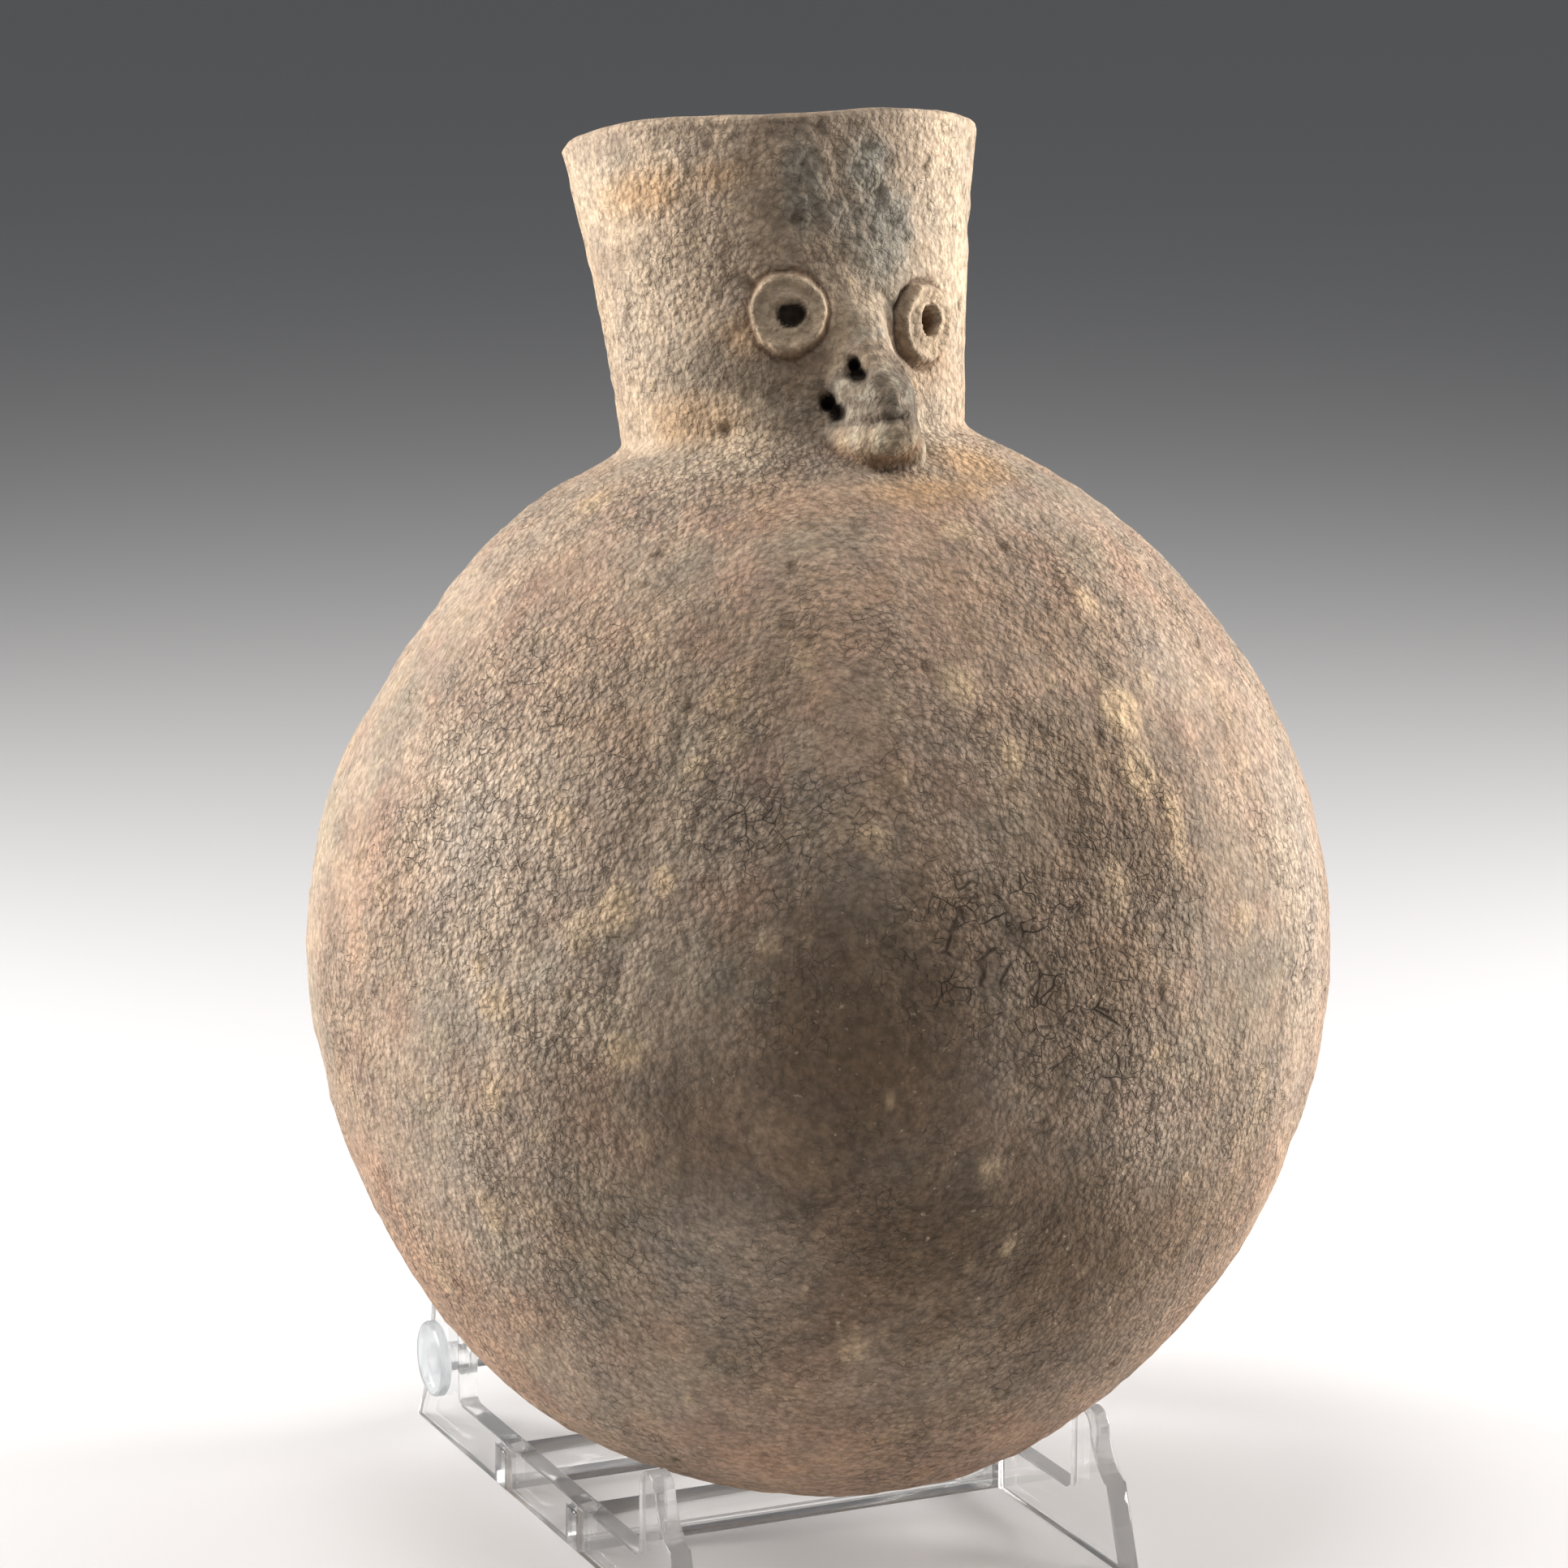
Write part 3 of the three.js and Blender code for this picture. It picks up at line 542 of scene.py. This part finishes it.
def jar_mesh(grid, world, colour, crazing):
    """One closed skin of rings of quads with a pole below and another on the inner bottom."""
    rings, sectors = grid.rings, grid.sectors
    here = np.arange(sectors)
    after = (here + 1) % sectors
    quads = []
    for first in range(0, (rings - 1) * sectors, sectors):
        corners = [first + here, first + after, first + sectors + after, first + sectors + here]
        quads += np.stack(corners, axis=1).tolist()
    low_pole = len(world)
    inner_pole = low_pole + 1
    last = (rings - 1) * sectors
    triangles = []
    for k in range(sectors):
        triangles.append((low_pole, int(after[k]), k))
        triangles.append((last + k, last + int(after[k]), inner_pole))
    poles = stand_up(np.array([[0, 0, POLE_RISE - BOWL_DEPTH], [0, 0, BODY_WALL - BOWL_DEPTH]]))
    vertices = np.concatenate([world, poles]) * MM
    mesh = bpy.data.meshes.new("jar_clay")
    mesh.from_pydata(vertices.tolist(), [], quads + triangles)
    mesh.update()
    colour = np.concatenate([colour, colour[:1], colour[last:last + 1]])
    crazing = np.concatenate([crazing, crazing[:1], [0]])
    layer = mesh.color_attributes.new("clay_tone", "FLOAT_COLOR", "POINT")
    layer.data.foreach_set("color", np.hstack([colour, crazing[:, None]]).ravel())
    mesh.polygons.foreach_set("use_smooth", np.ones(len(mesh.polygons), dtype=bool))
    return mesh


def build_jar():
    grid = jar_grid()
    face = face_relief(grid)
    relief, marks = clay_relief(grid, face)
    flat = shape_jar(grid, face, relief)
    low, high = np.array(start_box[0]) / MM, np.array(start_box[1]) / MM
    world = np.clip(stand_up(flat), low + BOX_MARGIN, high - BOX_MARGIN)
    colour, crazing = jar_tones(grid, face, marks, flat)
    body = bpy.data.objects.new("jar_clay", jar_mesh(grid, world, colour, crazing))
    bpy.context.scene.collection.objects.link(body)
    return body, world[grid.outside]


def node_tree(material):
    material.use_nodes = True
    nodes = material.node_tree.nodes
    nodes.clear()
    output = nodes.new("ShaderNodeOutputMaterial")
    shader = nodes.new("ShaderNodeBsdfPrincipled")
    material.node_tree.links.new(shader.outputs["BSDF"], output.inputs["Surface"])
    return nodes, material.node_tree.links, shader


def clay_material():
    material = bpy.data.materials.new("fired_clay")
    nodes, links, shader = node_tree(material)
    shader.inputs["Roughness"].default_value = 0.93
    shader.inputs["Specular IOR Level"].default_value = 0.22
    place = nodes.new("ShaderNodeTexCoord")
    painted = nodes.new("ShaderNodeVertexColor")
    painted.layer_name = "clay_tone"

    def noise(scale, detail, roughness=0.6, vector=None):
        node = nodes.new("ShaderNodeTexNoise")
        node.inputs["Scale"].default_value = scale
        node.inputs["Detail"].default_value = detail
        node.inputs["Roughness"].default_value = roughness
        links.new(vector or place.outputs["Object"], node.inputs["Vector"])
        return node

    def spread(source, low, high, start=0.0, end=1.0):
        node = nodes.new("ShaderNodeMapRange")
        node.inputs["From Min"].default_value = low
        node.inputs["From Max"].default_value = high
        node.inputs["To Min"].default_value = start
        node.inputs["To Max"].default_value = end
        node.interpolation_type = "SMOOTHSTEP"
        links.new(source, node.inputs["Value"])
        return node.outputs["Result"]

    def maths(kind, first, second):
        node = nodes.new("ShaderNodeMath")
        node.operation = kind
        for socket, value in zip(node.inputs, (first, second)):
            if isinstance(value, (int, float)):
                socket.default_value = value
            else:
                links.new(value, socket)
        return node.outputs["Value"]

    def blend(kind, amount, first, second):
        node = nodes.new("ShaderNodeMix")
        node.data_type = "RGBA"
        node.blend_type = kind
        for index, value in ((0, amount), (6, first), (7, second)):
            if isinstance(value, (float, tuple)):
                node.inputs[index].default_value = value
            else:
                links.new(value, node.inputs[index])
        return node.outputs[2]

    def shaken(scale, reach):
        """Object space pushed about by noise."""
        node = nodes.new("ShaderNodeVectorMath")
        node.operation = "MULTIPLY_ADD"
        links.new(noise(scale, 1.0, 0.5).outputs["Color"], node.inputs[0])
        node.inputs[1].default_value = (reach,) * 3
        links.new(place.outputs["Object"], node.inputs[2])
        return node.outputs["Vector"]

    def cracks(scale, width, seed):
        """Thin broken lines along the edges of bent cells."""
        move = nodes.new("ShaderNodeVectorMath")
        move.operation = "ADD"
        links.new(shaken(scale * 0.9, 0.8 / scale), move.inputs[0])
        move.inputs[1].default_value = (seed, seed * 0.7, seed * 1.3)
        cell = nodes.new("ShaderNodeTexVoronoi")
        cell.feature = "DISTANCE_TO_EDGE"
        cell.inputs["Scale"].default_value = scale
        links.new(move.outputs["Vector"], cell.inputs["Vector"])
        line = spread(cell.outputs["Distance"], width, 0.0)
        broken = noise(scale * 0.6, 3.0, 0.65, move.outputs["Vector"])
        return maths("MULTIPLY", line, spread(broken.outputs["Fac"], 0.47, 0.56))

    craze = painted.outputs["Alpha"]
    wide = maths("MULTIPLY", cracks(230.0, 0.035, 0.31), spread(craze, 0.4, 0.9))
    fine = maths("MULTIPLY", cracks(400.0, 0.045, 0.77), spread(craze, 0.1, 0.6, 0.12, 0.55))
    gash = maths("MULTIPLY", cracks(120.0, 0.07, 0.53), spread(craze, 0.66, 0.9))
    crack = maths("MAXIMUM", maths("MAXIMUM", wide, fine), gash)

    uneven = spread(craze, 0.05, 0.5, 0.5, 1.0)
    pebbles = nodes.new("ShaderNodeTexVoronoi")
    pebbles.inputs["Scale"].default_value = 760.0
    links.new(shaken(700.0, 0.0007), pebbles.inputs["Vector"])
    pale_speck, dark_speck = noise(620.0, 3.0).outputs["Fac"], noise(480.0, 3.0).outputs["Fac"]
    blotch = spread(noise(75.0, 5.0, 0.72).outputs["Fac"], 0.32, 0.68)
    pebble = spread(noise(520.0, 3.0).outputs["Fac"], 0.30, 0.70)
    blotchy = blend("MIX", blotch, (0.80, 0.81, 0.83, 1.0), (1.15, 1.11, 1.06, 1.0))
    pebbly = blend("MIX", pebble, (0.78, 0.77, 0.76, 1.0), (1.18, 1.18, 1.18, 1.0))
    # Painted shade in the gaps between the pebbles, stronger where the crazing is
    pebble_gap_shade = maths("MULTIPLY", spread(pebbles.outputs["Distance"], 0.42, 0.76, 0.0, 0.45), uneven)

    colour = blend("MULTIPLY", 1.0, painted.outputs["Color"], blotchy)
    colour = blend("MULTIPLY", 1.0, colour, pebbly)
    colour = blend("MIX", spread(pale_speck, 0.66, 0.74, 0.0, 0.45), colour, (0.62, 0.50, 0.36, 1.0))
    # Painted shade between the pebbles
    colour = blend("MIX", pebble_gap_shade, colour, (0.085, 0.062, 0.045, 1.0))
    colour = blend("MIX", spread(dark_speck, 0.33, 0.26, 0.0, 0.55), colour, (0.06, 0.045, 0.035, 1.0))
    # The cracks are real; their near black is painted shade in their gaps
    colour = blend("MIX", maths("MULTIPLY", crack, 0.85), colour, (0.045, 0.032, 0.024, 1.0))
    links.new(colour, shader.inputs["Base Color"])

    grain = maths("MULTIPLY", noise(1400.0, 2.0).outputs["Fac"], 0.3)
    height = maths("ADD", noise(260.0, 3.0).outputs["Fac"], grain)
    height = maths("SUBTRACT", height, maths("MULTIPLY", pebbles.outputs["Distance"], 0.44))
    height = maths("MULTIPLY", height, uneven)
    height = maths("SUBTRACT", height, maths("MULTIPLY", crack, 0.45))
    bump = nodes.new("ShaderNodeBump")
    bump.inputs["Strength"].default_value = 1.0
    bump.inputs["Distance"].default_value = 0.0015
    links.new(height, bump.inputs["Height"])
    links.new(bump.outputs["Normal"], shader.inputs["Normal"])
    return material


def acrylic_material(name, colour, roughness, alpha):
    material = bpy.data.materials.new(name)
    _, _, shader = node_tree(material)
    shader.inputs["Base Color"].default_value = (*colour, 1.0)
    shader.inputs["Roughness"].default_value = roughness
    shader.inputs["IOR"].default_value = 1.49
    shader.inputs["Transmission Weight"].default_value = 1.0
    shader.inputs["Alpha"].default_value = alpha
    return material


# Stand measures in millimetres
PLATE_THICKNESS, PLATE_SPACING = 4.3, 88.0
HORN_INNER, HORN_FOOT, HORN_TOP = -24.0, 21.5, 4.3
HORN_LEDGE, HORN_LEDGE_HEIGHT, HORN_LEDGE_INSET = 1.0, 16.5, 6.0
RAIL_LENGTH, RAIL_OVER_BAR, RAIL_CORNER = 98.0, 2.5, 2.0
UPRIGHT_FOOT, UPRIGHT_TOP, KNEE_HEIGHT, KNEE_INSET = 26.0, 5.0, 13.0, 7.5
BAR_THICKNESS, BAR_HEIGHT, FRONT_BAR_INSET, BAR_SPACING = 5.0, 8.0, 34.8, 39.2
ROD_RADIUS, ROD_HEIGHT, ROD_INSET = 3.0, 17.0, 11.0
CAP_RADIUS, CAP_THICKNESS = 8.0, 2.3
PLATE_EDGE, BAR_EDGE, ROD_EDGE, CAP_EDGE = 0.4, 0.35, 0.3, 0.35
FIT, REST, REST_MARGIN = 0.3, 0.35, 0.6
# The horn's top stays under the first height, the upright's under the top of the CAD's plate
HORN_LIMIT, UPRIGHT_LIMIT = 60.0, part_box("stand_side_left")[1].z / MM


def resting_centre(clay, place, top_radius):
    """Height of a rounded top's middle when it just clears the clay over it."""
    inner = PLATE_SPACING / 2 - REST_MARGIN
    outer = inner + PLATE_THICKNESS + 2 * REST_MARGIN
    near = (np.abs(clay[:, 0]) > inner) & (np.abs(clay[:, 0]) < outer)
    near &= (np.abs(clay[:, 1] - place) < top_radius) & (clay[:, 2] < CENTRE_HEIGHT)
    spots = clay[near]
    rise = np.sqrt(top_radius ** 2 - (spots[:, 1] - place) ** 2)
    return float((spots[:, 2] - REST - rise).min())


def arc(middle, height, radius, start, end, steps=14):
    turns = np.linspace(math.radians(start), math.radians(end), steps)
    return [(middle + radius * math.cos(t), height + radius * math.sin(t)) for t in turns]


def side_outline(clay):
    horn_place = HORN_INNER - HORN_TOP + CENTRE_Y
    front = HORN_INNER - HORN_FOOT + CENTRE_Y
    upright_front = HORN_INNER + RAIL_LENGTH + CENTRE_Y
    upright_place = upright_front + UPRIGHT_TOP
    back = upright_front + UPRIGHT_FOOT
    rail = BAR_HEIGHT + RAIL_OVER_BAR
    horn = min(resting_centre(clay, horn_place, HORN_TOP), HORN_LIMIT - HORN_TOP)
    upright = min(resting_centre(clay, upright_place, UPRIGHT_TOP), UPRIGHT_LIMIT - UPRIGHT_TOP)
    ledge = front + HORN_LEDGE_INSET
    points = [(front, 0.0), (ledge, HORN_LEDGE_HEIGHT), (ledge + HORN_LEDGE, HORN_LEDGE_HEIGHT)]
    first = np.array(points[-1])
    pull = np.array([horn_place - HORN_TOP - HORN_LEDGE, horn - HORN_TOP])
    last = np.array([horn_place - HORN_TOP, horn])
    for t in np.linspace(0, 1, 10)[1:-1]:
        points.append(tuple((1 - t) ** 2 * first + 2 * t * (1 - t) * pull + t * t * last))
    points += arc(horn_place, horn, HORN_TOP, 180, 0)
    inner = HORN_INNER + CENTRE_Y
    low = rail + RAIL_CORNER
    points += [(inner, low)] + arc(inner + RAIL_CORNER, low, RAIL_CORNER, 180, 270, 5)[1:]
    points += arc(upright_front - RAIL_CORNER, low, RAIL_CORNER, 270, 360, 5)
    points += arc(upright_place, upright, UPRIGHT_TOP, 180, 0)
    points += [(back - KNEE_INSET, KNEE_HEIGHT), (back, 0.0)]
    notch = BAR_THICKNESS / 2 + FIT
    for inset in (FRONT_BAR_INSET + BAR_SPACING, FRONT_BAR_INSET):
        bar = HORN_INNER + inset + CENTRE_Y
        points += [(bar + notch, 0.0), (bar + notch, BAR_HEIGHT + FIT)]
        points += [(bar - notch, BAR_HEIGHT + FIT), (bar - notch, 0.0)]
    rod = upright_front + ROD_INSET
    return points, arc(rod, ROD_HEIGHT, ROD_RADIUS + FIT, 0, 360, 33)[:-1], rod


def prism(name, outlines, thickness, bevel, turn):
    """A flat plate of the outlines (the second is a hole) with rounded edges."""
    curve = bpy.data.curves.new(name, "CURVE")
    curve.dimensions = "2D"
    curve.fill_mode = "BOTH"
    for points in outlines:
        spline = curve.splines.new("POLY")
        spline.points.add(len(points) - 1)
        for point, (across, up) in zip(spline.points, points):
            point.co = (across * MM, up * MM, 0, 1)
        spline.use_cyclic_u = True
    curve.extrude = (thickness / 2 - bevel) * MM
    curve.bevel_depth = bevel * MM
    curve.bevel_resolution = 2
    curve.offset = -(bevel + 0.002) * MM
    holder = bpy.data.objects.new(name, curve)
    bpy.context.scene.collection.objects.link(holder)
    graph = bpy.context.evaluated_depsgraph_get()
    mesh = bpy.data.meshes.new_from_object(holder.evaluated_get(graph))
    bpy.data.objects.remove(holder)
    bpy.data.curves.remove(curve)
    mesh.transform(turn)
    work = bmesh.new()
    work.from_mesh(mesh)
    bmesh.ops.remove_doubles(work, verts=work.verts, dist=1e-7)
    bmesh.ops.recalc_face_normals(work, faces=work.faces)
    work.to_mesh(mesh)
    work.free()
    piece = bpy.data.objects.new(name, mesh)
    bpy.context.scene.collection.objects.link(piece)
    return piece


def turned(name, profile, turn, steps=48):
    """A round piece about its own axis, from (radius, place) points."""
    work = bmesh.new()
    rows = []
    for radius, place in profile:
        if radius == 0:
            rows.append([work.verts.new((place * MM, 0, 0))] * steps)
            continue
        rows.append([work.verts.new((
            place * MM,
            radius * math.cos(2 * math.pi * k / steps) * MM,
            radius * math.sin(2 * math.pi * k / steps) * MM,
        )) for k in range(steps)])
    for low, high in zip(rows, rows[1:]):
        for k in range(steps):
            after = (k + 1) % steps
            corners = [low[k], low[after], high[after], high[k]]
            unique = list(dict.fromkeys(corners))
            work.faces.new(unique)
    bmesh.ops.recalc_face_normals(work, faces=work.faces)
    mesh = bpy.data.meshes.new(name)
    work.to_mesh(mesh)
    work.free()
    mesh.transform(turn)
    piece = bpy.data.objects.new(name, mesh)
    bpy.context.scene.collection.objects.link(piece)
    return piece


jar, clay_points = build_jar()
jar.data.materials.append(clay_material())
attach(jar, "root")
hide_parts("jar")

clear = acrylic_material("clear_acrylic", (0.97, 0.975, 0.97), 0.04, 0.8)
milky = acrylic_material("clear_acrylic_cap", (0.80, 0.87, 0.92), 0.25, 0.75)
outline, rod_hole, rod_place = side_outline(clay_points)
# From outline space (along, up, across) to the frame of the part (across, along, up)
upright_turn = Matrix(((0, 0, 1, 0), (1, 0, 0, 0), (0, 1, 0, 0), (0, 0, 0, 1)))
plate_face = PLATE_SPACING / 2 + PLATE_THICKNESS
stand = []
for name, side in (("stand_side_left", -1), ("stand_side_right", 1)):
    turn = Matrix.Translation((side * (PLATE_SPACING + PLATE_THICKNESS) / 2 * MM, 0, 0)) @ upright_turn
    plate = prism(name + "_acrylic", [outline, rod_hole], PLATE_THICKNESS, PLATE_EDGE, turn)
    stand.append((plate, name))
for name, inset in (("stand_bar_front", FRONT_BAR_INSET), ("stand_bar_rear", FRONT_BAR_INSET + BAR_SPACING)):
    middle = HORN_INNER + inset + CENTRE_Y
    near, far = middle - BAR_THICKNESS / 2, middle + BAR_THICKNESS / 2
    low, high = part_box(name)
    section = [(near, 0), (far, 0), (far, BAR_HEIGHT), (near, BAR_HEIGHT)]
    bar = prism(name + "_acrylic", [section], (high.x - low.x) / MM, BAR_EDGE, upright_turn)
    stand.append((bar, name))
spot = Matrix.Translation((0, rod_place * MM, ROD_HEIGHT * MM))
rod = turned("stand_rod_acrylic", [
    (0, -plate_face), (ROD_RADIUS - ROD_EDGE, -plate_face), (ROD_RADIUS, ROD_EDGE - plate_face),
    (ROD_RADIUS, plate_face - ROD_EDGE), (ROD_RADIUS - ROD_EDGE, plate_face), (0, plate_face),
], spot)
stand.append((rod, "stand_rod"))
for name, side in (("stand_cap_left", -1), ("stand_cap_right", 1)):
    near = side * (plate_face + FIT)
    far = side * (plate_face + FIT + CAP_THICKNESS)
    soft = CAP_EDGE * side
    cap = turned(name + "_acrylic", [
        (0, near), (CAP_RADIUS - CAP_EDGE, near), (CAP_RADIUS, near + soft),
        (CAP_RADIUS, far - 2 * soft), (CAP_RADIUS - 0.2, far - 0.8 * soft), (CAP_RADIUS - 2 * CAP_EDGE, far),
        (0, far),
    ], spot)
    stand.append((cap, name))
for piece, name in stand:
    piece.data.materials.append(milky if "cap" in name else clear)
    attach(piece, "root")
    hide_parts(name)

# Floor, lights and camera
floor_mesh = bpy.data.meshes.new("floor")
floor_mesh.from_pydata([(-20, -20, 0), (20, -20, 0), (20, 20, 0), (-20, 20, 0)], [], [(0, 1, 2, 3)])
floor = bpy.data.objects.new("floor", floor_mesh)
bpy.context.scene.collection.objects.link(floor)
floor_material = bpy.data.materials.new("pale_floor")
_, _, floor_shader = node_tree(floor_material)
floor_shader.inputs["Base Color"].default_value = (0.62, 0.62, 0.63, 1.0)
floor_shader.inputs["Roughness"].default_value = 0.9
floor.data.materials.append(floor_material)

# The photo's camera, fitted to the cradle's straight edges
VIEW_TURN, VIEW_RISE = math.radians(24.0), math.radians(11.9)
CAMERA, LENS = Vector((-0.3952, -0.8715, 0.3537)), 116.33
RIGHT = Vector((math.cos(VIEW_TURN), -math.sin(VIEW_TURN), 0.0))
FLAT_BACK = Vector((-math.sin(VIEW_TURN), -math.cos(VIEW_TURN), 0.0))
BACK = FLAT_BACK * math.cos(VIEW_RISE) + Vector((0, 0, math.sin(VIEW_RISE)))
UP = BACK.cross(RIGHT)
AIM = Vector((0.0, 0.0, 0.14))


def add_light(name, right, back, height, width, tall, power, colour=(1, 1, 1)):
    data = bpy.data.lights.new(name, "AREA")
    data.shape = "RECTANGLE"
    data.size, data.size_y = width, tall
    data.energy = power
    data.color = colour
    light = bpy.data.objects.new(name, data)
    light.location = RIGHT * right + FLAT_BACK * back + Vector((0, 0, height))
    light.rotation_euler = (light.location - AIM).to_track_quat("Z", "Y").to_euler()
    bpy.context.scene.collection.objects.link(light)


add_light("light_left", -0.85, -0.10, 0.42, 0.45, 0.7, 16.8, (1.0, 0.97, 0.94))
add_light("light_right", 0.85, -0.16, 0.40, 0.45, 0.7, 18.5, (1.0, 0.97, 0.94))
add_light("light_top", -0.15, 0.35, 1.15, 0.4, 0.4, 5.0, (1.0, 0.98, 0.95))
world = bpy.data.worlds.new("studio")
world.use_nodes = True
world.node_tree.nodes["Background"].inputs[0].default_value = (0.85, 0.87, 0.9, 1.0)
world.node_tree.nodes["Background"].inputs[1].default_value = 0.15
bpy.context.scene.world = world
bpy.context.scene.view_settings.view_transform = "Standard"

camera_data = bpy.data.cameras.new("camera")
camera_data.lens = LENS
camera_data.sensor_width = 36.0
camera_data.clip_start = 0.05
camera = bpy.data.objects.new("camera", camera_data)
camera.matrix_world = Matrix((
    (RIGHT.x, UP.x, BACK.x, CAMERA.x),
    (RIGHT.y, UP.y, BACK.y, CAMERA.y),
    (RIGHT.z, UP.z, BACK.z, CAMERA.z),
    (0, 0, 0, 1),
))
bpy.context.scene.collection.objects.link(camera)
bpy.context.scene.camera = camera
